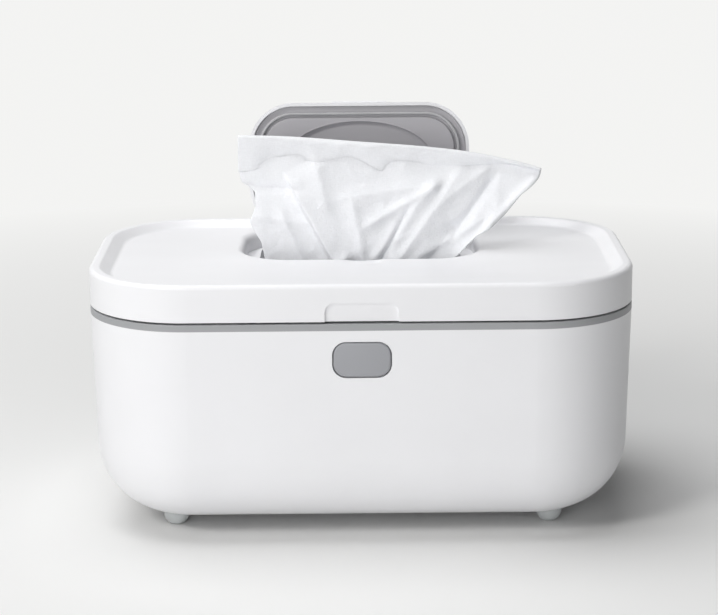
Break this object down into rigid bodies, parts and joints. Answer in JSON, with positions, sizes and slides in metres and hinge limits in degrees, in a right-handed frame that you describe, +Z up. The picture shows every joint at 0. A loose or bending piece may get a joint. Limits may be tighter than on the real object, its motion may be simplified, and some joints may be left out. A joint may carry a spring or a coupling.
{
  "type": "baby wipe warmer",
  "caption": "Baby wipe warmer: rounded white housing on short feet, grey tub rim, hinged lid with a dispensing flap standing open and a wipe pulled up through it.",
  "frame": {"origin": "bottom centre of the bounding box, level with the undersides of the feet", "axes": "+X to the right seen from the front, +Y towards the back, +Z up; the front with the button faces -Y"},
  "size_m": [0.245, 0.15, 0.1791],
  "materials": {
    "shell_white": "satin moulded",
    "tub_grey": "fine moulded",
    "button_grey": "satin",
    "plate_grey": "satin",
    "seal_grey": "soft silicone",
    "foot_rubber": "translucent silicone",
    "screw_steel": "zinc plated",
    "pin_steel": "drawn",
    "spreader_aluminium": "rolled",
    "heater_rubber": "silicone heating mat",
    "insulation_felt": "needled felt",
    "board_green": "solder resist",
    "switch_black": "moulded",
    "lamp_clear": "clear epoxy",
    "lead_sleeve": "silicone sleeve",
    "wipe_fabric": "moist nonwoven"
  },
  "bodies": {
    "housing": {"outer_housing": "shell_white", "inner_tub": "tub_grey", "base_plate": "shell_white", "base_screws": "screw_steel", "rubber_feet": "foot_rubber", "heat_spreader": "spreader_aluminium", "heater_pad": "heater_rubber", "insulation_pad": "insulation_felt", "thermostat": "screw_steel", "thermal_fuse": "switch_black", "control_board": "board_green", "board_screws": "screw_steel", "power_switch": "switch_black", "indicator_lamp": "lamp_clear", "power_inlet": "switch_black", "inlet_pin": "pin_steel", "power_leads": "lead_sleeve", "heater_leads": "lead_sleeve", "lid_hinge_pins": "pin_steel", "wipe_stack": "wipe_fabric"},
    "button": {"front_button": "button_grey", "switch_plunger": "switch_black"},
    "lid": {"lid_shell": "shell_white", "lid_liner": "shell_white", "lid_seal": "seal_grey", "lid_screws": "screw_steel", "flap_hinge_pins": "pin_steel", "pull_up_wipe": "wipe_fabric"},
    "flap": {"flap_shell": "shell_white", "flap_inner_plate": "plate_grey", "flap_seal": "seal_grey"}
  },
  "joints": [
    {"name": "lid_hinge", "type": "hinge", "parent": "housing", "child": "lid", "pos_m": [0, 0.072, 0.0976], "axis": [-1, 0, 0], "range_deg": [0, 100]},
    {"name": "flap_hinge", "type": "hinge", "parent": "lid", "child": "flap", "pos_m": [0, 0.0601, 0.114], "axis": [1, 0, 0], "range_deg": [0, 97], "deforming": ["pull_up_wipe"]},
    {"name": "button_press", "type": "slide", "parent": "housing", "child": "button", "axis": [0, 1, 0], "range_m": [0, 0.0008], "stiffness_N_per_m": 800}
  ]
}
